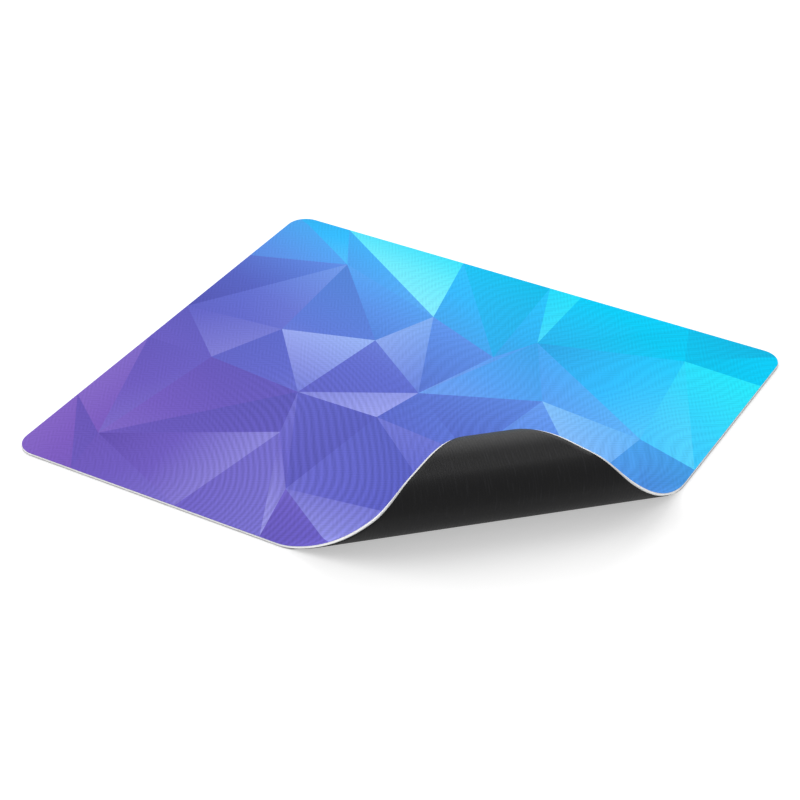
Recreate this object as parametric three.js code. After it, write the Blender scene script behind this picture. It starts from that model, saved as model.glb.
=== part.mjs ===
// Mouse pad, a thin die-cut laminate lying flat with its near right corner rolled up and over.
// Millimetres, +Z up. +X runs along the long side and +Y along the short side, away from
// the user. The origin is the middle of the underside, on the table.
import * as THREE from 'three';

// The cut sheet.
const PAD_LENGTH = 228.6;
const PAD_DEPTH = 203.2;
const CORNER_RADIUS = 8.5;

// The plies, from the table up.
const RUBBER_THICKNESS = 0.3;
const FOAM_THICKNESS = 0.5;
const FILM_THICKNESS = 0.1;
const CLOTH_THICKNESS = 0.3;

// The rolled corner. The sheet bends along straight lines that cross the pad at one angle
// from +X, so it never stretches. The roll is measured along the sheet, square to those
// lines, from the sheet's sharp corner before rounding back to the first bent line.
const ROLL_LINE_ANGLE = THREE.MathUtils.degToRad(43.5);
const ROLL_LENGTH = 76.5;

// Radii and turns of the roll at the middle of the sheet's thickness, from the table up.
const FOOT_RADIUS = 11.5;
const FOOT_TURN = THREE.MathUtils.degToRad(23.5);
const WALL_RADIUS = 25.5;
const WALL_TURN = THREE.MathUtils.degToRad(54);
const SHOULDER_RADIUS = 8.5;
const SHOULDER_TURN = THREE.MathUtils.degToRad(90);
const CROWN_RUN = 7;
const TIP_RADIUS = 20.3;

// Fineness of the facets.
const CORNER_SEGMENTS = 9;
const BEND_STEP = THREE.MathUtils.degToRad(4);
const FINEST_STEP = 0.05;

// Unit directions in the plan: along the roll's lines, and square to them, towards the corner.
const alongLines = new THREE.Vector2(Math.cos(ROLL_LINE_ANGLE), Math.sin(ROLL_LINE_ANGLE));
const towardsCorner = new THREE.Vector2(Math.sin(ROLL_LINE_ANGLE), -Math.cos(ROLL_LINE_ANGLE));

const rolledCorner = new THREE.Vector2(PAD_LENGTH / 2, -PAD_DEPTH / 2);
const rollStart = rolledCorner.dot(towardsCorner) - ROLL_LENGTH;

// The roll as a chain of stretches of sheet, each tangent to the last. A straight stretch
// turns by nothing, and the tip's arc takes whatever sheet is left.
const stretches = [
  { length: FOOT_RADIUS * FOOT_TURN, turn: FOOT_TURN },
  { length: WALL_RADIUS * WALL_TURN, turn: WALL_TURN },
  { length: SHOULDER_RADIUS * SHOULDER_TURN, turn: SHOULDER_TURN },
  { length: CROWN_RUN, turn: 0 },
];
const bentLength = stretches.reduce((total, stretch) => total + stretch.length, 0);
const tipLength = Math.max(ROLL_LENGTH - bentLength, 0);
stretches.push({ length: tipLength, turn: tipLength / TIP_RADIUS });

// Where the middle of the thickness lies once the sheet is bent, for a place in the flat
// sheet given by its distance towards the corner: reach is level, rise is up and lean is
// the sheet's angle there.
function bentPlace(distance) {
  let reach = Math.min(distance, rollStart);
  let rise = 0;
  let lean = 0;
  let left = Math.max(distance - rollStart, 0);
  for (const { length, turn } of stretches) {
    const run = Math.min(left, length);
    if (run <= 0) break;
    if (turn > 0) {
      const radius = length / turn;
      const next = lean + run / radius;
      reach += radius * (Math.sin(next) - Math.sin(lean));
      rise += radius * (Math.cos(lean) - Math.cos(next));
      lean = next;
    } else {
      reach += run * Math.cos(lean);
      rise += run * Math.sin(lean);
    }
    left -= run;
  }
  return { reach, rise, lean };
}

const PLIES = [
  { name: 'rubber_base', thickness: RUBBER_THICKNESS, color: 0x2b2b2c, roughness: 0.85 },
  { name: 'foam_core', thickness: FOAM_THICKNESS, color: 0xf4f4f2, roughness: 0.8 },
  { name: 'bonding_film', thickness: FILM_THICKNESS, color: 0xe9e9e4, roughness: 0.4 },
  { name: 'print_cloth', thickness: CLOTH_THICKNESS, color: 0x5a78e0, roughness: 0.7 },
];
const padThickness = PLIES.reduce((total, ply) => total + ply.thickness, 0);

// The place in space of a point of the flat sheet, at a height above its underside.
function placeInSpace({ towards, along }, height) {
  const { reach, rise, lean } = bentPlace(towards);
  const offset = height - padThickness / 2;
  const level = reach - Math.sin(lean) * offset;
  return new THREE.Vector3(
    level * towardsCorner.x + along * alongLines.x,
    level * towardsCorner.y + along * alongLines.y,
    rise + padThickness / 2 + Math.cos(lean) * offset,
  );
}

// The flat cut outline, a rounded rectangle, as points in the roll's own directions.
function cutOutline() {
  const halfLength = PAD_LENGTH / 2;
  const halfDepth = PAD_DEPTH / 2;
  const radius = Math.min(CORNER_RADIUS, halfLength, halfDepth);
  const corners = [[1, 1], [-1, 1], [-1, -1], [1, -1]];
  const points = [];
  corners.forEach(([sideX, sideY], quarter) => {
    for (let step = 0; step <= CORNER_SEGMENTS; step += 1) {
      const angle = (quarter + step / CORNER_SEGMENTS) * Math.PI / 2;
      const place = new THREE.Vector2(
        sideX * (halfLength - radius) + radius * Math.cos(angle),
        sideY * (halfDepth - radius) + radius * Math.sin(angle),
      );
      points.push({ towards: place.dot(towardsCorner), along: place.dot(alongLines) });
    }
  });
  return points;
}

// Distances towards the corner at which the sheet is cut into strips: through each point
// of the outline, and at even turns along each bend.
function stripLines(outline) {
  const lines = outline.map((point) => point.towards);
  const first = Math.min(...lines);
  const last = Math.max(...lines);
  let start = rollStart;
  for (const { length, turn } of stretches) {
    const steps = Math.max(Math.ceil(turn / BEND_STEP), 1);
    for (let step = 0; step <= steps; step += 1) lines.push(start + length * step / steps);
    start += length;
  }
  const inside = lines.filter((line) => line > first + FINEST_STEP && line < last - FINEST_STEP);
  inside.sort((a, b) => a - b);
  const kept = [first];
  for (const line of inside) {
    if (line - kept[kept.length - 1] > FINEST_STEP) kept.push(line);
  }
  return [...kept, last];
}

// Where one strip line enters and leaves the outline. At the outline's two ends, the line
// touches it at one point only.
function crossOutline(outline, towards) {
  const crossings = [];
  outline.forEach((from, index) => {
    const to = outline[(index + 1) % outline.length];
    const low = Math.min(from.towards, to.towards);
    const high = Math.max(from.towards, to.towards);
    if (towards < low || towards > high || low === high) return;
    const part = (towards - from.towards) / (to.towards - from.towards);
    crossings.push(from.along + part * (to.along - from.along));
  });
  const near = { towards, along: Math.min(...crossings) };
  const far = { towards, along: Math.max(...crossings) };
  return far.along - near.along > FINEST_STEP ? [near, far] : [near];
}

const outline = cutOutline();
const rows = stripLines(outline).map((line) => crossOutline(outline, line));

// One ply: its lower and upper faces in strips from row to row, and the cut edge round them.
function plyGeometry(bottom, top) {
  const positions = [];
  const triangle = (...points) => points.forEach((point) => positions.push(...point.toArray()));
  const quad = (a, b, c, d) => {
    if (!a.equals(b)) triangle(a, b, c);
    if (!c.equals(d)) triangle(a, c, d);
  };
  for (let index = 1; index < rows.length; index += 1) {
    const [before, after] = [rows[index - 1], rows[index]];
    const ends = [before[0], before[before.length - 1], after[after.length - 1], after[0]];
    const [a, b, c, d] = ends.map((point) => placeInSpace(point, top));
    const [e, f, g, h] = ends.map((point) => placeInSpace(point, bottom));
    quad(b, a, d, c);
    quad(e, f, g, h);
    quad(a, e, h, d);
    quad(f, b, c, g);
  }
  for (const [row, turned] of [[rows[0], false], [rows[rows.length - 1], true]]) {
    if (row.length < 2) continue;
    const [near, far] = turned ? [row[1], row[0]] : row;
    quad(
      placeInSpace(near, bottom),
      placeInSpace(near, top),
      placeInSpace(far, top),
      placeInSpace(far, bottom),
    );
  }
  const geometry = new THREE.BufferGeometry();
  geometry.setAttribute('position', new THREE.Float32BufferAttribute(positions, 3));
  geometry.computeVertexNormals();
  return geometry;
}

const mousePad = new THREE.Group();
let height = 0;
for (const { name, thickness, color, roughness } of PLIES) {
  const material = new THREE.MeshStandardMaterial({ color, roughness, metalness: 0 });
  const ply = new THREE.Mesh(plyGeometry(height, height + thickness), material);
  ply.name = name;
  mousePad.add(ply);
  height += thickness;
}

export default mousePad;
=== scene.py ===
# %% [markdown]
# # A mouse pad with one corner rolled up
#
# The object is a thin laminate: printed polyester on top, then a film of glue, white foam
# and black rubber. It is die-cut to a rounded rectangle and lies flat, apart from the near
# right corner, which is rolled up and over so that the rubber shows. This lesson dresses
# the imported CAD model. The CAD plies give the size, and each one is replaced by a finer
# sheet with its own material.

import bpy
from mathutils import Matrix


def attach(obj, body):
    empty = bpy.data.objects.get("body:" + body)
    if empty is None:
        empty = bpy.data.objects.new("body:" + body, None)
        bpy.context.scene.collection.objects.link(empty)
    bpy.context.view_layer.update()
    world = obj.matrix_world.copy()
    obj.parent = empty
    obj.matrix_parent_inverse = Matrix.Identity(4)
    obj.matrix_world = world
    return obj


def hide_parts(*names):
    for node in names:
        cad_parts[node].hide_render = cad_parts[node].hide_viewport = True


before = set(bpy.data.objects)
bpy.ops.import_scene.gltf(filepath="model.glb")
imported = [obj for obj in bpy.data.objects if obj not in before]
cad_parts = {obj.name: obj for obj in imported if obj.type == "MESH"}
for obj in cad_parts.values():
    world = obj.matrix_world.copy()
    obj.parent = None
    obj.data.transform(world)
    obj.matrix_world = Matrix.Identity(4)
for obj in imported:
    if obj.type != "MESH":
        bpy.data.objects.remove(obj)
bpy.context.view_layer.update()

import bpy
import numpy as np
from mathutils import Vector

print("CAD nodes:", sorted(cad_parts))

# %% [markdown]
# ## The camera
#
# A camera could be placed by eye, but a photo of a rectangle tells more: its two pairs of
# parallel edges meet at two vanishing points, and these give the direction and the
# distance. The camera stands to the right of the pad's middle and looks down at it.
# Azimuth turns it round the upright axis, and elevation is its angle above the horizon.

# %% Place the camera
CAMERA_PLACE = (0.35185, -0.61965, 0.48666)
CAMERA_AZIMUTH = np.radians(29.902)
CAMERA_ELEVATION = np.radians(34.264)
CAMERA_LENS_MM = 100.0
SENSOR_MM = 36.0

camera = bpy.data.objects.new("photo_camera", bpy.data.cameras.new("photo_camera"))
camera.data.lens = CAMERA_LENS_MM
camera.data.sensor_width = SENSOR_MM
camera.location = CAMERA_PLACE
camera.rotation_euler = (np.pi / 2 - CAMERA_ELEVATION, 0.0, CAMERA_AZIMUTH)
bpy.context.scene.collection.objects.link(camera)
bpy.context.scene.camera = camera
print("camera is", round(Vector(CAMERA_PLACE).length, 3), "m from the pad's middle")

# %% [markdown]
# ## The sizes of the sheet
#
# These repeat the CAD's sizes, in metres. The rubber is made a little smaller than the
# rest, because the soft foam spreads under the die and springs back past it. So the white
# edge stands on a thin line of shade where the pad lies flat, and where the corner is
# rolled over, the foam shows as a thin white border round the rubber.

# %% Name the sizes
MM = 0.001
PAD_LENGTH = 228.6 * MM
PAD_DEPTH = 203.2 * MM
CORNER_RADIUS = 8.5 * MM

RUBBER_TOP = 0.3 * MM
FOAM_TOP = 0.8 * MM
FILM_TOP = 0.9 * MM
CLOTH_TOP = 1.2 * MM
RUBBER_INSET = 0.68 * MM
LIP_HEIGHT = 0.25 * MM  # where the foam's overhang starts, above the table

# How far each cut edge is rounded off.
RUBBER_ROUNDING = 0.08 * MM
FOAM_ROUNDING = 0.10 * MM
FILM_ROUNDING = 0.02 * MM
CLOTH_ROUNDING = 0.05 * MM

# %% [markdown]
# ## Rolling a sheet that can't stretch
#
# A sheet of cloth and rubber bends easily but hardly stretches. It could be rolled with a
# Simple Deform modifier or a simulation, but both stretch it a little. Instead, each point
# keeps its distance along the sheet. The sheet bends only across parallel straight lines,
# and its section is a chain of arcs, each tangent to the last: a tight foot on the table,
# a wide wall, a tight shoulder, a short straight crown, and the tip that comes down.

# %% Describe the roll
ROLL_LINE_ANGLE = np.radians(43.5)
ROLL_LENGTH = 76.5 * MM
ARCS = [  # radius of the middle of the thickness, and turn
    (11.5 * MM, np.radians(23.5)),
    (25.5 * MM, np.radians(54.0)),
    (8.5 * MM, np.radians(90.0)),
]
CROWN_RUN = 7.0 * MM
TIP_RADIUS = 20.3 * MM

along_lines = np.array([np.cos(ROLL_LINE_ANGLE), np.sin(ROLL_LINE_ANGLE)])
to_corner = np.array([np.sin(ROLL_LINE_ANGLE), -np.cos(ROLL_LINE_ANGLE)])
roll_start = np.array([PAD_LENGTH / 2, -PAD_DEPTH / 2]) @ to_corner - ROLL_LENGTH

stretches = [(radius * turn, turn) for radius, turn in ARCS] + [(CROWN_RUN, 0.0)]
tip_length = ROLL_LENGTH - sum(length for length, turn in stretches)
stretches.append((tip_length, tip_length / TIP_RADIUS))
total_turn = sum(turn for length, turn in stretches)
print("the sheet turns by", round(float(np.degrees(total_turn))), "degrees in all")


def roll_section(distance):
    """The bent section at each distance along the sheet towards the rolled corner.

    On an arc of radius r that starts at angle a, a run of length s ends at angle
    b = a + s / r, moves r (sin b - sin a) forward and r (cos a - cos b) up. Returns how
    far forward and up each point lies, and the sheet's angle there.
    """
    forward = np.minimum(distance, roll_start)
    up = np.zeros_like(distance)
    angle = np.zeros_like(distance)
    left = np.maximum(distance - roll_start, 0.0)
    for length, turn in stretches:
        run = np.clip(left, 0.0, length)
        if turn > 0:
            radius = length / turn
            ahead = angle + run / radius
            forward = forward + radius * (np.sin(ahead) - np.sin(angle))
            up = up + radius * (np.cos(angle) - np.cos(ahead))
            angle = ahead
        else:
            forward = forward + run * np.cos(angle)
            up = up + run * np.sin(angle)
        left = left - run
    return forward, up, angle


def place_in_space(flat, height):
    """Points of the flat sheet, at a height above its underside, once it is rolled.

    The section gives the middle of the thickness. A point above or below that middle is
    moved along the section's normal, (-sin angle, cos angle), by its height from it.
    """
    forward, up, angle = roll_section(flat @ to_corner)
    offset = height - CLOTH_TOP / 2
    level = forward - np.sin(angle) * offset
    plan = level[:, None] * to_corner + (flat @ along_lines)[:, None] * along_lines
    return np.column_stack([plan, up + CLOTH_TOP / 2 + np.cos(angle) * offset])


SECTION_SAMPLES = 400
along_roll = np.linspace(roll_start, roll_start + ROLL_LENGTH, SECTION_SAMPLES)
crown = roll_section(along_roll)[1].max()
print("the roll stands", round(float(crown / MM), 1), "mm high at mid-thickness")

# %% [markdown]
# ## A flat grid with rounded corners
#
# Each ply needs a closed mesh with even, small faces, because the roll bends it. A grid of
# quads over a rectangle has that, but its corners are square. A bevel or a boolean would
# break the even grid, so the grid is bent by a formula: inside the small square at each
# corner, a point slides towards the arc's centre until squares round it become circles.

# %% Round the corners of a grid
def rounded_sheet(unit, inset):
    """Turn points of the square -1..1 into points of the cut sheet, in metres.

    The square is scaled to the sheet's half sizes, less the inset. In a corner's box, a
    point at (a, b) from the arc's centre moves to (a, b) * max(a, b) / hypot(a, b), which
    takes the box's outer edges to a quarter circle and leaves its inner edges in place.
    """
    half = np.array([PAD_LENGTH, PAD_DEPTH]) / 2 - inset
    radius = CORNER_RADIUS - inset
    point = unit * half
    sign = np.where(point < 0, -1.0, 1.0)
    past = np.abs(point) - (half - radius)
    inside = (past > 0).all(axis=1)
    reach = np.hypot(past[:, 0], past[:, 1])
    share = np.where(inside, past.max(axis=1) / np.where(inside, reach, 1.0), 1.0)
    bent = sign * (half - radius + past * share[:, None])
    return np.where(inside[:, None], bent, point)


def border_of(columns, rows):
    """Indices of a grid's border points, once round, anticlockwise seen from above."""
    index = np.arange(columns * rows).reshape(columns, rows)
    sides = [index[:-1, 0], index[-1, :-1], index[:0:-1, -1], index[0, :0:-1]]
    return np.concatenate(sides)


corner_tests = rounded_sheet(np.array([[1.0, 1.0], [1.0, 0.0], [-1.0, -1.0]]), 0.0)
print("sharp corner, side and corner land at (mm):", (corner_tests / MM).round(2).tolist())

# %% [markdown]
# ## The facets of the print
#
# The print is a common low-poly gradient: flat triangles, each a little lighter or darker
# than the next. A Voronoi texture gives cells, but not triangles, and an image isn't used.
# So the facets are laid out in the mesh. Points of a coarse lattice are pushed about by
# seeded random steps, each cell is cut along one diagonal, and the fine grid is bent to
# follow, so that every edge between two facets is also an edge of the mesh and stays
# sharp at any distance.

# %% Lay out the facets
FACET_COLUMNS, FACET_ROWS = 6, 5
FACET_STEPS = 28  # fine quads along each side of a lattice cell
LATTICE_SEED = 2
LATTICE_PLAY = 0.46

random = np.random.default_rng(LATTICE_SEED)
lattice_u, lattice_v = np.meshgrid(
    np.linspace(-1, 1, FACET_COLUMNS + 1),
    np.linspace(-1, 1, FACET_ROWS + 1),
    indexing="ij",
)
push_u = random.uniform(-LATTICE_PLAY, LATTICE_PLAY, lattice_u.shape) * 2 / FACET_COLUMNS
push_v = random.uniform(-LATTICE_PLAY, LATTICE_PLAY, lattice_v.shape) * 2 / FACET_ROWS
push_u[[0, -1], :] = 0.0
push_v[:, [0, -1]] = 0.0
lattice = np.stack([lattice_u + push_u, lattice_v + push_v], axis=-1)
print("lattice of", lattice.shape[0], "by", lattice.shape[1], "points")


def triangle_area(a, b, c):
    """Signed area of triangles in the unit square, positive when anticlockwise."""
    ab, ac = b - a, c - a
    return (ab[..., 0] * ac[..., 1] - ab[..., 1] * ac[..., 0]) / 2


# %% [markdown]
# A cell can be cut along either diagonal. A coin decides, but where that cut would leave a
# very thin triangle, or one turned over, the other diagonal is taken.

# %% Choose each cell's diagonal
THINNEST_FACET = 0.0060  # area in the square -1..1

near_left, near_right = lattice[:-1, :-1], lattice[1:, :-1]
far_right, far_left = lattice[1:, 1:], lattice[:-1, 1:]
rising = np.minimum(
    triangle_area(near_left, near_right, far_right),
    triangle_area(near_left, far_right, far_left),
)
falling = np.minimum(
    triangle_area(near_left, near_right, far_left),
    triangle_area(near_right, far_right, far_left),
)
coin = random.random(rising.shape) < 0.5
thin = np.minimum(rising, falling) < THINNEST_FACET
cut_falling = np.where(thin, falling > rising, coin)


# %% [markdown]
# The same function makes the plain grids of the other plies: with one cell and no random
# steps, it is an even grid.

# %% Bend a fine grid to the facets
def faceted_grid(points, falling_cut, steps):
    """A fine grid in the unit square that follows a coarse lattice of facets.

    Each cell has two parameters, s across and t up, from 0 to 1. On each side of its cut
    the point is an even mix of that triangle's three corners, so the triangle's inside
    stays straight. Returns the points, the triangles, and each triangle's facet.
    """
    cells_u, cells_v = falling_cut.shape
    count_u, count_v = cells_u * steps + 1, cells_v * steps + 1
    i, j = np.meshgrid(np.arange(count_u), np.arange(count_v), indexing="ij")
    cell_i = np.minimum(i // steps, cells_u - 1)
    cell_j = np.minimum(j // steps, cells_v - 1)
    s = (i / steps - cell_i)[..., None]
    t = (j / steps - cell_j)[..., None]
    p00, p10 = points[cell_i, cell_j], points[cell_i + 1, cell_j]
    p11, p01 = points[cell_i + 1, cell_j + 1], points[cell_i, cell_j + 1]
    rising_side = np.where(
        s >= t,
        p00 + s * (p10 - p00) + t * (p11 - p10),
        p00 + t * (p01 - p00) + s * (p11 - p01),
    )
    falling_side = np.where(
        s + t <= 1,
        p00 + s * (p10 - p00) + t * (p01 - p00),
        p11 + (1 - s) * (p01 - p11) + (1 - t) * (p10 - p11),
    )
    unit = np.where(falling_cut[cell_i, cell_j][..., None], falling_side, rising_side)

    index = np.arange(count_u * count_v).reshape(count_u, count_v)
    a, b = index[:-1, :-1], index[1:, :-1]
    c, d = index[1:, 1:], index[:-1, 1:]
    falls = falling_cut[cell_i[:-1, :-1], cell_j[:-1, :-1]][..., None]
    first = np.where(falls, np.stack([a, b, d], -1), np.stack([a, b, c], -1))
    second = np.where(falls, np.stack([b, c, d], -1), np.stack([a, c, d], -1))

    local_i, local_j = i[:-1, :-1] % steps, j[:-1, :-1] % steps
    falls = falls[..., 0]
    first_upper = np.where(falls, local_i + local_j > steps - 1, local_i < local_j)
    second_upper = np.where(falls, local_i + local_j >= steps - 1, local_i <= local_j)
    cell = cell_i[:-1, :-1] * cells_v + cell_j[:-1, :-1]
    facet = np.stack([2 * cell + first_upper, 2 * cell + second_upper], -1)
    triangles = np.stack([first, second], -2).reshape(-1, 3)
    return unit.reshape(-1, 2), triangles, facet.reshape(-1), (count_u, count_v)


square = np.stack(np.meshgrid([-1.0, 1.0], [-1.0, 1.0], indexing="ij"), -1)
PLAIN_STEPS = 120
plain_grid = faceted_grid(square, np.zeros((1, 1), bool), PLAIN_STEPS)
print_grid = faceted_grid(lattice, cut_falling, FACET_STEPS)
print("print grid:", len(print_grid[0]), "points; plain grid:", len(plain_grid[0]))

# %% [markdown]
# ## From grid to ply
#
# A ply is the grid twice, once for its upper face and once for its lower, joined by a few
# rings round the cut edge. A Solidify modifier could do this, but here each ring is a true
# offset of the outline, so the cut edge can be softly rounded. Faces point outwards, and
# every seam is closed.

# %% Make the mesh of a ply
EDGE_RINGS = 4  # between the borders of the two faces
EDGE_TURN = np.radians(75.0)
SHARP_FROM = np.radians(50.0)


def rounded_edge(bottom, top, inset, rounding):
    """The section of a cut edge from top to bottom, as pairs: drawn in, and height.

    It follows an arc from EDGE_TURN down to -EDGE_TURN: at angle q, the edge is drawn in
    by inset + rounding * (1 - cos q), and its height runs with sin q.
    """
    turns = np.linspace(EDGE_TURN, -EDGE_TURN, EDGE_RINGS + 2)
    drawn_in = inset + rounding * (1 - np.cos(turns))
    heights = (top + bottom) / 2 + (top - bottom) / 2 * np.sin(turns) / np.sin(EDGE_TURN)
    return np.column_stack([drawn_in, heights])


def ply_mesh(name, grid, edge):
    """One closed ply: an upper face, a lower face and rings along the edge's section.

    The first pair of the section places the upper face's border, and the last one the
    lower face's. Also returns the flat place of every triangle's corners, the facet of
    each triangle of the upper face, and the count of those triangles.
    """
    unit, triangles, facet, shape = grid
    border = border_of(*shape)
    flats = [rounded_sheet(unit, edge[0, 0]), rounded_sheet(unit, edge[-1, 0])]
    flats += [rounded_sheet(unit[border], drawn_in) for drawn_in in edge[1:-1, 0]]
    levels = [edge[0, 1], edge[-1, 1], *edge[1:-1, 1]]
    flat = np.concatenate(flats)
    height = np.concatenate([np.full(len(f), h) for f, h in zip(flats, levels)])
    points = place_in_space(flat, height)

    count, around = len(unit), len(border)
    starts = 2 * count + around * np.arange(len(edge) - 2)
    rings = [border] + [start + np.arange(around) for start in starts] + [count + border]
    sides = []
    for above, below in zip(rings[:-1], rings[1:]):
        next_above, next_below = np.roll(above, -1), np.roll(below, -1)
        sides.append(np.stack([above, below, next_below], -1))
        sides.append(np.stack([above, next_below, next_above], -1))
    faces = np.concatenate([triangles, triangles[:, ::-1] + count] + sides)

    mesh = bpy.data.meshes.new(name)
    mesh.vertices.add(len(points))
    mesh.vertices.foreach_set("co", points.ravel())
    mesh.loops.add(faces.size)
    mesh.loops.foreach_set("vertex_index", faces.ravel())
    mesh.polygons.add(len(faces))
    mesh.polygons.foreach_set("loop_start", np.arange(0, faces.size, 3))
    mesh.update(calc_edges=True)
    mesh.validate()
    mesh.shade_smooth()
    mesh.set_sharp_from_angle(angle=SHARP_FROM)
    uv = mesh.uv_layers.new(name="flat_mm")
    uv.data.foreach_set("uv", (flat[faces.ravel()] / MM).ravel())
    print(name, "has", len(faces), "triangles")
    return mesh, flat[faces], facet, len(triangles)


# %% [markdown]
# ## Colours and nodes
#
# Screen colours are written as sRGB hex, and shaders work in linear light, so one function
# turns one into the other, and another gives plain greys. One more adds a node together
# with its settings and links, and the last starts a material.

# %% Make the helpers
def linear(hex_colour):
    """An sRGB hex colour as linear red, green, blue and alpha."""
    channels = np.array([int(hex_colour[i : i + 2], 16) for i in (1, 3, 5)]) / 255
    low, high = channels / 12.92, ((channels + 0.055) / 1.055) ** 2.4
    return (*np.where(channels <= 0.04045, low, high).tolist(), 1.0)


def grey(level):
    """A neutral colour of one level of linear light, with its alpha."""
    return (level, level, level, 1.0)


def add_node(tree, kind, settings=None, values=None, links=None):
    """Add one node: its settings, the values of its sockets, and what feeds them."""
    node = tree.nodes.new(kind)
    for name, value in (settings or {}).items():
        setattr(node, name, value)
    for name, value in (values or {}).items():
        node.inputs[name].default_value = value
    for name, source in (links or {}).items():
        tree.links.new(source, node.inputs[name])
    return node


def new_material(name):
    """A material with a Principled shader, and its node tree."""
    material = bpy.data.materials.new(name)
    material.use_nodes = True
    shader = material.node_tree.nodes["Principled BSDF"]
    return material, material.node_tree, shader


MIX_A, MIX_B, MIX_RESULT = 6, 7, 2  # a Mix node's colour sockets
MIX_LOW, MIX_HIGH, MIX_MIDDLE = 2, 3, 0  # its number sockets
print("mid blue in linear light:", [round(c, 3) for c in linear("#5A8CE4")[:3]])

# %% [markdown]
# ## The print on the cloth
#
# The pad's face is woven polyester with dye-sublimated colour: the dye sits inside the
# thread, so the surface is matt, with hardly any gloss, and shows the thread. The colour
# runs from violet at the near left, through blue, to cyan at the far right. Three numbers
# for each corner of each triangle carry the design: how far along that run it is, and how
# much paler and how much deeper than it. They change evenly across a facet and jump at
# its edges.

# %% Work out the tone of each facet
GLINTS = [  # x and y in mm, and how much paler
    (-48, 84, 0.80),
    (-52, 2, 0.48),
    (-8, -2, 0.32),
    (10, -78, 0.30),
    (-16, -68, 0.26),
    (-64, -84, 0.04),
    (-30, 36, 0.30),
    (24, 72, 0.40),
    (106, 58, 0.40),
    (66, 22, 0.38),
    (98, 36, 0.25),
]
SHADES = [  # x and y in mm, and how much deeper
    (-8, 94, 0.14),
    (28, 10, 0.22),
    (90, 86, 0.20),
    (-100, 58, 0.16),
    (-54, -50, 0.20),
    (86, 4, 0.16),
    (104, -12, 0.30),
    (-20, -30, 0.12),
]
TONE_SPREAD = 0.065  # a facet's random step of tone
RUN_SPREAD = 0.03  # a facet's random shift along the colour run
STEEPNESS = (2.0, 7.0)  # change of tone per metre across a facet
GLINT_STEEPNESS = 11.0
RUN_ACROSS, RUN_UP, RUN_AT_RIGHT = 0.40, 0.75, 0.12


def along_gradient(x, y):
    """Place along the colour run: 0 at the near left, and past 1 at the far right.

    With u across the pad and v up it, both from 0 to 1, it is
    RUN_ACROSS * u + (RUN_UP * v + RUN_AT_RIGHT * u^3) * v.
    """
    across, up = x / PAD_LENGTH + 0.5, y / PAD_DEPTH + 0.5
    return RUN_ACROSS * across + (RUN_UP * up + RUN_AT_RIGHT * across**3) * up


falling_facets = [[near_left, near_right, far_left], [near_right, far_right, far_left]]
rising_facets = [[near_left, near_right, far_right], [near_left, far_right, far_left]]
facets = np.where(
    cut_falling[..., None, None, None],
    np.moveaxis(np.array(falling_facets), (0, 1), (2, 3)),
    np.moveaxis(np.array(rising_facets), (0, 1), (2, 3)),
)
facets = facets.reshape(-1, 3, 2) * np.array([PAD_LENGTH, PAD_DEPTH]) / 2
centres = facets.mean(axis=1)


def facet_holding(x, y):
    """The facet that holds a place in mm: the one with it on the left of all its sides."""
    side = np.roll(facets, -1, axis=1) - facets
    ahead = np.array([x, y]) * MM - facets
    left_of = side[..., 0] * ahead[..., 1] - side[..., 1] * ahead[..., 0]
    return left_of.min(axis=1).argmax()


tone = random.normal(0.0, TONE_SPREAD, len(facets))
lean_angle = random.uniform(0, 2 * np.pi, len(facets))
steepness = random.uniform(*STEEPNESS, len(facets))
shift = random.normal(0.0, RUN_SPREAD, len(facets))
for x, y, strength in GLINTS:
    lit = facet_holding(x, y)
    tone[lit] = max(tone[lit], 0.0) + strength
    steepness[lit] = GLINT_STEEPNESS
for x, y, strength in SHADES:
    tone[facet_holding(x, y)] -= strength
lean = np.stack([np.cos(lean_angle), np.sin(lean_angle)], -1) * steepness[:, None]
print(len(facets), "facets, tones from", round(tone.min(), 2), "to", round(tone.max(), 2))

# %% [markdown]
# The cloth ply is made first, because the design is written into its triangles' corners.

# %% Make the cloth and write the design into it
OWN_SHARE = 0.6  # of the run at a corner's own place, and the rest at its facet's centre
PALEST, DEEPEST = 0.85, 0.60

cloth_mesh, corner_places, facet_of, upper_count = ply_mesh(
    "print_cloth_sheet",
    print_grid,
    rounded_edge(FILM_TOP, CLOTH_TOP, 0.0, CLOTH_ROUNDING),
)
places = corner_places[:upper_count]
from_centre = places - centres[facet_of][:, None, :]
centre_run = along_gradient(*centres[facet_of].T)[:, None]
own_run = along_gradient(places[..., 0], places[..., 1])
run = OWN_SHARE * own_run + (1 - OWN_SHARE) * centre_run + shift[facet_of][:, None]
light = tone[facet_of][:, None] + (from_centre * lean[facet_of][:, None, :]).sum(-1)

plain_run = along_gradient(corner_places[..., 0], corner_places[..., 1])
for name, values, elsewhere in [
    ("dye_run", run, plain_run),
    ("dye_paler", np.clip(light, 0.0, PALEST), np.zeros_like(plain_run)),
    ("dye_deeper", np.clip(-light, 0.0, DEEPEST), np.zeros_like(plain_run)),
]:
    filled = elsewhere.astype(np.float32).ravel()
    filled[: values.size] = values.ravel()
    attribute = cloth_mesh.attributes.new(name, "FLOAT", "CORNER")
    attribute.data.foreach_set("value", filled)
    print(name, "runs from", round(float(values.min()), 2), "to", round(float(values.max()), 2))

# %% [markdown]
# Two colour ramps read the run: one for the dye, one for its pale tint. The paler number
# mixes them, and the deeper one takes the result towards a dark violet blue.

# %% Dye the polyester
printed, tree, shader = new_material("dye_sublimated_woven_polyester")
run_at = add_node(tree, "ShaderNodeAttribute", {"attribute_name": "dye_run"})
paler_at = add_node(tree, "ShaderNodeAttribute", {"attribute_name": "dye_paler"})
deeper_at = add_node(tree, "ShaderNodeAttribute", {"attribute_name": "dye_deeper"})
flat_mm = add_node(tree, "ShaderNodeUVMap", {"uv_map": "flat_mm"})

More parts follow.
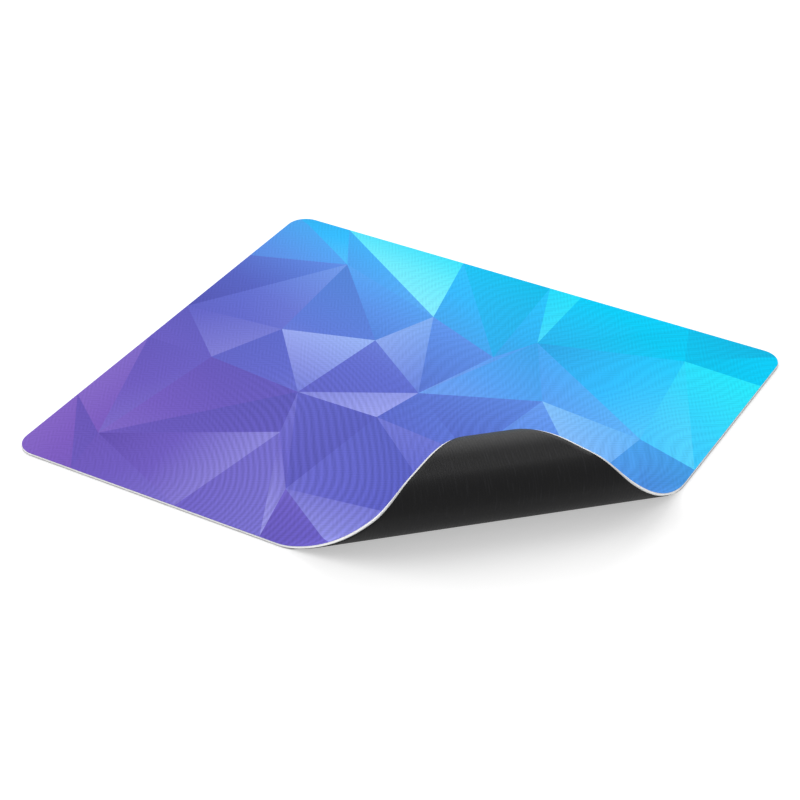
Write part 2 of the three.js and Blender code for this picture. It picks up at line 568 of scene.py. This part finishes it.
DYE_STOPS = [
    (0.0, "#805CBE"),
    (0.14, "#6C5CBE"),
    (0.36, "#606ECE"),
    (0.55, "#5E96EC"),
    (0.75, "#34BAFC"),
    (1.0, "#00CCF6"),
]
PALE_STOPS = [
    (0.0, "#B8AEF6"),
    (0.36, "#B4BCFC"),
    (0.62, "#94D4FC"),
    (0.74, "#86F0FC"),
    (0.88, "#48EEFA"),
    (1.0, "#30F0FA"),
]
ramps = []
for stops in (DYE_STOPS, PALE_STOPS):
    ramp = add_node(tree, "ShaderNodeValToRGB", links={"Fac": run_at.outputs["Fac"]})
    elements = ramp.color_ramp.elements
    while len(elements) < len(stops):
        elements.new(0.5)
    for element, (position, colour) in zip(elements, stops):
        element.position = position
        element.color = linear(colour)
    ramps.append(ramp)

lifted = add_node(
    tree,
    "ShaderNodeMix",
    {"data_type": "RGBA"},
    links={
        "Factor": paler_at.outputs["Fac"],
        MIX_A: ramps[0].outputs["Color"],
        MIX_B: ramps[1].outputs["Color"],
    },
)
toned = add_node(
    tree,
    "ShaderNodeMix",
    {"data_type": "RGBA"},
    {MIX_B: linear("#1C1C78")},
    {"Factor": deeper_at.outputs["Fac"], MIX_A: lifted.outputs[MIX_RESULT]},
)
print("dye stops:", len(DYE_STOPS), "and pale stops:", len(PALE_STOPS))

# %% [markdown]
# The cloth is a plain weave, and close rows of thread catch light in slow waves, like
# watered silk. The waves come from two Wave textures with a strong, slow distortion:
# close arcs at the near left, and wider waves that wander towards the back right.

# %% Draw the slow waves
BAND = 2 * np.pi / 20  # one band of a Wave texture, in its own units
WAVES = [  # spacing and centre in mm, how far the rings wander, and how soon
    (2.5, (-95.0, -105.0), 30.0, 0.12),
    (3.6, (190.0, -5.0), 22.0, 0.30),
]
WIDE_FROM, WIDE_TO = -30.0, 20.0  # x + y in mm, where the wider waves take over

where = add_node(tree, "ShaderNodeSeparateXYZ", links={"Vector": flat_mm.outputs["UV"]})
rings = []
for spacing, (centre_x, centre_y), wander, soon in WAVES:
    ring_place = add_node(
        tree,
        "ShaderNodeMapping",
        values={"Location": (-centre_x, -centre_y, 0.0)},
        links={"Vector": flat_mm.outputs["UV"]},
    )
    ring = add_node(
        tree,
        "ShaderNodeTexWave",
        {"wave_type": "RINGS", "rings_direction": "Z"},
        {"Scale": BAND / spacing, "Distortion": wander, "Detail": 0.3, "Detail Scale": soon},
        {"Vector": ring_place.outputs["Vector"]},
    )
    rings.append(ring)
back_right = add_node(
    tree,
    "ShaderNodeMath",
    {"operation": "ADD"},
    links={0: where.outputs["X"], 1: where.outputs["Y"]},
)
wide_share = add_node(
    tree,
    "ShaderNodeMapRange",
    {"interpolation_type": "SMOOTHSTEP"},
    {"From Min": WIDE_FROM, "From Max": WIDE_TO},
    {"Value": back_right.outputs[0]},
)
waves = add_node(
    tree,
    "ShaderNodeMix",
    {"data_type": "FLOAT"},
    links={
        "Factor": wide_share.outputs["Result"],
        MIX_LOW: rings[0].outputs["Fac"],
        MIX_HIGH: rings[1].outputs["Fac"],
    },
)
print("waves are", [spacing for spacing, *_ in WAVES], "mm apart")

# %% [markdown]
# The waves are strongest at the front and weaker at the back, and at the left only a trace
# of them is left.

# %% Set how strong the waves are
FADE_FROM, FADE_TO = -75.0, -30.0  # x in mm
LEAST_AT_LEFT = 0.2
RISE_FROM, RISE_TO = 40.0, -60.0  # y in mm
AT_BACK, AT_FRONT = 0.75, 2.1

to_right = add_node(
    tree,
    "ShaderNodeMapRange",
    {"interpolation_type": "SMOOTHSTEP"},
    {"From Min": FADE_FROM, "From Max": FADE_TO, "To Min": LEAST_AT_LEFT, "To Max": 1.0},
    {"Value": where.outputs["X"]},
)
to_front = add_node(
    tree,
    "ShaderNodeMapRange",
    {"interpolation_type": "SMOOTHSTEP"},
    {"From Min": RISE_FROM, "From Max": RISE_TO, "To Min": AT_BACK, "To Max": AT_FRONT},
    {"Value": where.outputs["Y"]},
)
wave_share = add_node(
    tree,
    "ShaderNodeMath",
    {"operation": "MULTIPLY"},
    links={0: to_right.outputs["Result"], 1: to_front.outputs["Result"]},
)
centred = add_node(
    tree,
    "ShaderNodeMath",
    {"operation": "SUBTRACT"},
    {1: 0.5},
    {0: waves.outputs[MIX_MIDDLE]},
)
print("the waves grow from", LEAST_AT_LEFT, "at the left to", AT_FRONT, "at the front")

# %% [markdown]
# Between the waves the threads show as short dashes, now along one set of threads and now
# along the other. Real threads are 0.4 mm apart, too fine to show here, so they are drawn
# at 1.4 mm.

# %% Show the threads
THREAD_MM = 1.4
THREAD_ANGLE = np.radians(30.0)
DASH_MM = 4.0

turned = add_node(
    tree,
    "ShaderNodeMapping",
    values={"Rotation": (0.0, 0.0, -THREAD_ANGLE)},
    links={"Vector": flat_mm.outputs["UV"]},
)
threads = [
    add_node(
        tree,
        "ShaderNodeTexWave",
        {"wave_type": "BANDS", "bands_direction": direction},
        {"Scale": BAND / THREAD_MM, "Distortion": 2.0, "Detail": 1.0, "Detail Scale": 0.6},
        {"Vector": turned.outputs["Vector"]},
    )
    for direction in ("X", "Y")
]
patches = add_node(
    tree,
    "ShaderNodeTexNoise",
    values={"Scale": 1 / DASH_MM, "Detail": 0.0},
    links={"Vector": turned.outputs["Vector"]},
)
which_set = add_node(
    tree,
    "ShaderNodeMapRange",
    values={"From Min": 0.42, "From Max": 0.58},
    links={"Value": patches.outputs["Fac"]},
)
weave = add_node(
    tree,
    "ShaderNodeMix",
    {"data_type": "FLOAT"},
    links={
        "Factor": which_set.outputs["Result"],
        MIX_LOW: threads[0].outputs["Fac"],
        MIX_HIGH: threads[1].outputs["Fac"],
    },
)
print("threads drawn", THREAD_MM, "mm apart")

# %% [markdown]
# Waves and threads together shade the dye a little and raise the surface a little.

# %% Put the waves and threads on the dye
SHADE_LOW, SHADE_HIGH = 0.945, 1.045  # where waves and threads add up to 0 and to 1

surface = add_node(
    tree,
    "ShaderNodeMath",
    {"operation": "MULTIPLY_ADD"},
    links={
        0: centred.outputs[0],
        1: wave_share.outputs[0],
        2: weave.outputs[MIX_MIDDLE],
    },
)
shade = add_node(
    tree,
    "ShaderNodeMapRange",
    {"clamp": False},
    {"From Min": 0.0, "From Max": 1.0, "To Min": SHADE_LOW, "To Max": SHADE_HIGH},
    {"Value": surface.outputs[0]},
)
tinted = add_node(
    tree,
    "ShaderNodeHueSaturation",
    links={"Value": shade.outputs["Result"], "Color": toned.outputs[MIX_RESULT]},
)
relief = add_node(
    tree,
    "ShaderNodeBump",
    values={"Strength": 0.25, "Distance": 0.06 * MM},
    links={"Height": surface.outputs[0]},
)
tree.links.new(tinted.outputs["Color"], shader.inputs["Base Color"])
tree.links.new(relief.outputs["Normal"], shader.inputs["Normal"])
shader.inputs["Roughness"].default_value = 0.9
shader.inputs["Specular IOR Level"].default_value = 0.05
print("the print's nodes:", len(tree.nodes))

# %% [markdown]
# ## The cut edge of the cloth
#
# Sublimation dye doesn't reach the back of the cloth, so where the die cuts it, the lower
# ends of the threads are still white. They make a row of tiny dots.

# %% Leave the cut threads white
THREAD_END_MM = 0.4
DYED_BANDS = 3  # of the five bands of faces down the cloth's edge

undyed, tree, shader = new_material("undyed_cut_polyester")
flat_mm = add_node(tree, "ShaderNodeUVMap", {"uv_map": "flat_mm"})
ends = add_node(
    tree,
    "ShaderNodeTexVoronoi",
    values={"Scale": 1 / THREAD_END_MM, "Randomness": 0.5},
    links={"Vector": flat_mm.outputs["UV"]},
)
whites = add_node(
    tree,
    "ShaderNodeMix",
    {"data_type": "RGBA"},
    {MIX_A: linear("#F4F4F3"), MIX_B: linear("#E2E2E4")},
    {"Factor": ends.outputs["Distance"]},
)
tufts = add_node(
    tree,
    "ShaderNodeBump",
    values={"Strength": 0.3, "Distance": 0.05 * MM},
    links={"Height": ends.outputs["Distance"]},
)
tree.links.new(whites.outputs[MIX_RESULT], shader.inputs["Base Color"])
tree.links.new(tufts.outputs["Normal"], shader.inputs["Normal"])
shader.inputs["Roughness"].default_value = 0.85
print("undyed edge ready")

# %% [markdown]
# ## The bonding film
#
# Hot-melt film is a milky sheet of glue, pressed thin and smooth. Only its edge shows, as
# a faint, slightly glossier line between cloth and foam.

# %% Melt the film
film_look, tree, shader = new_material("milky_hot_melt_film")
at = add_node(tree, "ShaderNodeTexCoord")
clouds = add_node(
    tree,
    "ShaderNodeTexNoise",
    values={"Scale": 1 / (2.0 * MM), "Detail": 2.0},
    links={"Vector": at.outputs["Object"]},
)
milk = add_node(
    tree,
    "ShaderNodeMix",
    {"data_type": "RGBA"},
    {MIX_A: linear("#F1F1EC"), MIX_B: linear("#DEDED8")},
    {"Factor": clouds.outputs["Fac"]},
)
tree.links.new(milk.outputs[MIX_RESULT], shader.inputs["Base Color"])
shader.inputs["Roughness"].default_value = 0.4
shader.inputs["IOR"].default_value = 1.49
print("film ready")

# %% [markdown]
# ## The foam core
#
# The core is white closed-cell foam, blown in the sheet and cut through by the die. The
# cut opens its cells, each about a quarter of a millimetre wide, so the edge is matt and
# very slightly pitted. They are drawn at 0.35 mm so that a close view shows them.

# %% Blow the foam
CELL_MM = 0.35

foam_look, tree, shader = new_material("white_closed_cell_foam_die_cut")
at = add_node(tree, "ShaderNodeTexCoord")
cells = add_node(
    tree,
    "ShaderNodeTexVoronoi",
    {"feature": "SMOOTH_F1"},
    {"Scale": 1 / (CELL_MM * MM), "Smoothness": 0.5},
    {"Vector": at.outputs["Object"]},
)
cell_white = add_node(
    tree,
    "ShaderNodeMix",
    {"data_type": "RGBA"},
    {MIX_A: linear("#F0F0F1"), MIX_B: linear("#FAFAF9")},
    {"Factor": cells.outputs["Distance"]},
)
pits = add_node(
    tree,
    "ShaderNodeBump",
    values={"Strength": 0.4, "Distance": 0.08 * MM},
    links={"Height": cells.outputs["Distance"]},
)
tree.links.new(cell_white.outputs[MIX_RESULT], shader.inputs["Base Color"])
tree.links.new(pits.outputs["Normal"], shader.inputs["Normal"])
shader.inputs["Roughness"].default_value = 0.8
print("foam ready")

# %% [markdown]
# ## The rubber base
#
# The base is black rubber, cured against a fabric liner, which leaves a fine grain that
# grips the desk. It is nearly black and half matt, so it reads as dark grey where light
# grazes it. A few faint, short streaks run square to the roll's lines, where the liner
# was pulled off.

# %% Cure the rubber
RIB_MM = 1.1
STREAK_MM = 0.6
STREAK_LENGTH_MM = 9.0
GRAIN_MM = 0.3

rubber_look, tree, shader = new_material("black_rubber_cured_on_fabric")
flat_mm = add_node(tree, "ShaderNodeUVMap", {"uv_map": "flat_mm"})
turned = add_node(
    tree,
    "ShaderNodeMapping",
    values={"Rotation": (0.0, 0.0, -ROLL_LINE_ANGLE)},
    links={"Vector": flat_mm.outputs["UV"]},
)
ribs = add_node(
    tree,
    "ShaderNodeTexWave",
    {"wave_type": "BANDS", "bands_direction": "X"},
    {"Scale": BAND / RIB_MM, "Distortion": 1.0, "Detail": 1.0, "Detail Scale": 0.4},
    {"Vector": turned.outputs["Vector"]},
)
drawn_out = add_node(
    tree,
    "ShaderNodeMapping",
    values={"Scale": (1 / STREAK_MM, 1 / STREAK_LENGTH_MM, 1.0)},
    links={"Vector": turned.outputs["Vector"]},
)
streaks = add_node(
    tree,
    "ShaderNodeTexNoise",
    values={"Scale": 1.0, "Detail": 1.0, "Roughness": 0.5},
    links={"Vector": drawn_out.outputs["Vector"]},
)
sparse = add_node(
    tree,
    "ShaderNodeMapRange",
    values={"From Min": 0.56, "From Max": 0.85},
    links={"Value": streaks.outputs["Fac"]},
)
grain = add_node(
    tree,
    "ShaderNodeTexNoise",
    values={"Scale": 1 / GRAIN_MM, "Detail": 2.0},
    links={"Vector": flat_mm.outputs["UV"]},
)
blacks = add_node(
    tree,
    "ShaderNodeMix",
    {"data_type": "RGBA"},
    {MIX_A: linear("#131314"), MIX_B: linear("#242426")},
    {"Factor": sparse.outputs["Result"]},
)
texture = add_node(
    tree,
    "ShaderNodeMath",
    {"operation": "ADD"},
    links={0: ribs.outputs["Fac"], 1: grain.outputs["Fac"]},
)
pressed = add_node(
    tree,
    "ShaderNodeBump",
    values={"Strength": 0.25, "Distance": 0.08 * MM},
    links={"Height": texture.outputs[0]},
)
dull = add_node(
    tree,
    "ShaderNodeMapRange",
    values={"To Min": 0.48, "To Max": 0.60},
    links={"Value": streaks.outputs["Fac"]},
)
tree.links.new(blacks.outputs[MIX_RESULT], shader.inputs["Base Color"])
tree.links.new(dull.outputs["Result"], shader.inputs["Roughness"])
tree.links.new(pressed.outputs["Normal"], shader.inputs["Normal"])
shader.inputs["Specular IOR Level"].default_value = 0.14
print("rubber ready")

# %% [markdown]
# ## Assemble the laminate
#
# Each ply is one object that stands for its CAD node. All ride on the pad's one body.

# %% Put the plies in place
foam_edge = np.vstack(
    [
        rounded_edge(LIP_HEIGHT, FOAM_TOP, 0.0, FOAM_ROUNDING),
        [[RUBBER_INSET, LIP_HEIGHT], [RUBBER_INSET, RUBBER_TOP]],
    ]
)
PLIES = [  # piece, node, slot, what it rests on, materials, and its mesh
    (
        "rubber_base_sheet",
        "rubber_base",
        "black_rubber",
        [],
        [rubber_look],
        ply_mesh(
            "rubber_base_sheet",
            plain_grid,
            rounded_edge(0.0, RUBBER_TOP, RUBBER_INSET, RUBBER_ROUNDING),
        )[0],
    ),
    (
        "foam_core_sheet",
        "foam_core",
        "white_foam",
        ["rubber_base_sheet"],
        [foam_look],
        ply_mesh("foam_core_sheet", plain_grid, foam_edge)[0],
    ),
    (
        "bonding_film_sheet",
        "bonding_film",
        "bonding_film",
        ["foam_core_sheet"],
        [film_look],
        ply_mesh(
            "bonding_film_sheet",
            plain_grid,
            rounded_edge(FOAM_TOP, FILM_TOP, 0.0, FILM_ROUNDING),
        )[0],
    ),
    (
        "print_cloth_sheet",
        "print_cloth",
        "printed_cloth",
        ["bonding_film_sheet"],
        [printed, undyed],
        cloth_mesh,
    ),
]
for name, node, slot, rests_on, materials, mesh in PLIES:
    piece = bpy.data.objects.new(name, mesh)
    bpy.context.scene.collection.objects.link(piece)
    for material in materials:
        mesh.materials.append(material)
    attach(piece, "root")
    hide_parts(node)
    print(name, "is in place, of", ", ".join(m.name for m in materials))

# The upper face and the first bands of the edge take the dye, and the rest stays white.
which = np.ones(len(cloth_mesh.polygons), np.int32)
which[:upper_count] = 0
band_faces = 2 * len(border_of(*print_grid[3]))
which[2 * upper_count : 2 * upper_count + DYED_BANDS * band_faces] = 0
cloth_mesh.polygons.foreach_set("material_index", which)
cloth_mesh.update()

# %% [markdown]
# ## Floor, light and background
#
# The photo's ground is plain white and still holds a soft, pale shadow, which falls
# forward from under the roll. The floor is a wide, flat sheet just below the pad.

# %% Lay the floor
FLOOR_SIZE = 12.0
FLOOR_DROP = 0.05 * MM

floor_mesh = bpy.data.meshes.new("floor")
half = FLOOR_SIZE / 2
around = [(-half, -half), (half, -half), (half, half), (-half, half)]
floor_mesh.from_pydata([(x, y, -FLOOR_DROP) for x, y in around], [], [(0, 1, 2, 3)])
floor = bpy.data.objects.new("floor", floor_mesh)
bpy.context.scene.collection.objects.link(floor)
print("floor laid, side", FLOOR_SIZE, "m")

# %% [markdown]
# The ground glows a little for the camera alone, which keeps its shadow pale and the open
# ground full white, as a studio's lit table does. A Light Path node tells the camera's
# rays from those of the light, and it counts what the camera sees by gloss or through
# glass too. Where the pad's lip shuts the ground in to within a millimetre, an Ambient
# Occlusion node puts the glow out, which paints a fine dark line of contact shade under the
# edge.

# %% Make the ground glow for the camera, with painted contact shade under the edge
# The glow goes out close under the pad's edge: that dark line is painted contact shade.
GLOW = 0.44
PAINTED_SHADE_REACH_MM = 0.7
PAINTED_SHADE_FULL_AT = 0.6  # of the sky seen within that distance, where the glow is out
PAPER_WHITE = 0.9
PAPER_FOR_CAMERA = 0.72


def seen_by_camera(tree):
    """The output that is 1 for rays from the camera, straight or by gloss or glass."""
    path = add_node(tree, "ShaderNodeLightPath")
    seen = path.outputs["Is Camera Ray"]
    for kind in ("Is Glossy Ray", "Is Transmission Ray"):
        either = add_node(
            tree,
            "ShaderNodeMath",
            {"operation": "MAXIMUM"},
            links={0: seen, 1: path.outputs[kind]},
        )
        seen = either.outputs[0]
    return seen


ground, tree, shader = new_material("white_matt_paper_ground")
seen = seen_by_camera(tree)
paper = add_node(
    tree,
    "ShaderNodeMix",
    {"data_type": "RGBA"},
    {MIX_A: grey(PAPER_WHITE), MIX_B: grey(PAPER_FOR_CAMERA)},
    {"Factor": seen},
)
# Painted contact shade: the Ambient Occlusion mask takes the glow away where the ground is
# closely shut in.
painted_contact_shade_mask = add_node(
    tree,
    "ShaderNodeAmbientOcclusion",
    {"samples": 16},
    {"Distance": PAINTED_SHADE_REACH_MM * MM},
)
glow_less_painted_contact_shade = add_node(
    tree,
    "ShaderNodeMapRange",
    values={"From Min": PAINTED_SHADE_FULL_AT, "From Max": 1.0, "To Max": GLOW},
    links={"Value": painted_contact_shade_mask.outputs["AO"]},
)
glow = add_node(
    tree,
    "ShaderNodeMath",
    {"operation": "MULTIPLY"},
    links={0: seen, 1: glow_less_painted_contact_shade.outputs["Result"]},
)
tree.links.new(paper.outputs[MIX_RESULT], shader.inputs["Base Color"])
tree.links.new(glow.outputs[0], shader.inputs["Emission Strength"])
shader.inputs["Emission Color"].default_value = grey(1.0)
shader.inputs["Roughness"].default_value = 1.0
shader.inputs["Specular IOR Level"].default_value = 0.0
floor_mesh.materials.append(ground)
print("the ground glows at", GLOW, "for the camera")

# %% [markdown]
# A dome of even light gives just under half the light. The rest comes from three large
# soft boxes, each a sun with a wide angle: one at the left, and two behind the pad, as
# the camera sees it, which give the shadow. Together they light a level surface to about
# full white, so that colours show as they are written.

# %% Set the dome and the soft boxes
DOME_STRENGTH = 0.45
LAMPS = [  # name, where it shines from, spread in degrees, strength
    ("left_softbox", (-0.78, -0.37, 0.50), 45.0, 1.88),
    ("right_softbox", (0.56, 0.66, 0.50), 50.0, 0.82),
    ("back_softbox", (-0.30, 0.83, 0.47), 40.0, 1.00),
]

world = bpy.data.worlds.new("studio_dome")
bpy.context.scene.world = world
world.use_nodes = True
tree = world.node_tree
dome = tree.nodes["Background"]
dome_level = add_node(
    tree,
    "ShaderNodeMapRange",
    values={"To Min": DOME_STRENGTH, "To Max": 1.0},
    links={"Value": seen_by_camera(tree)},
)
dome.inputs["Color"].default_value = grey(1.0)
tree.links.new(dome_level.outputs["Result"], dome.inputs["Strength"])

for name, shines_from, spread, strength in LAMPS:
    lamp = bpy.data.objects.new(name, bpy.data.lights.new(name, "SUN"))
    lamp.data.energy = strength
    lamp.data.angle = np.radians(spread)
    lamp.rotation_mode = "QUATERNION"
    lamp.rotation_quaternion = Vector(shines_from).to_track_quat("Z", "Y")
    bpy.context.scene.collection.objects.link(lamp)
bpy.context.scene.view_settings.view_transform = "Standard"
from_boxes = [power * Vector(place).normalized().z / np.pi for _, place, _, power in LAMPS]
print("light on a level surface:", round(DOME_STRENGTH + sum(from_boxes), 2), "of full white")

# %% [markdown]
# ## Finish
#
# The view layer is brought up to date.

# %% Bring the view layer up to date
bpy.context.view_layer.update()
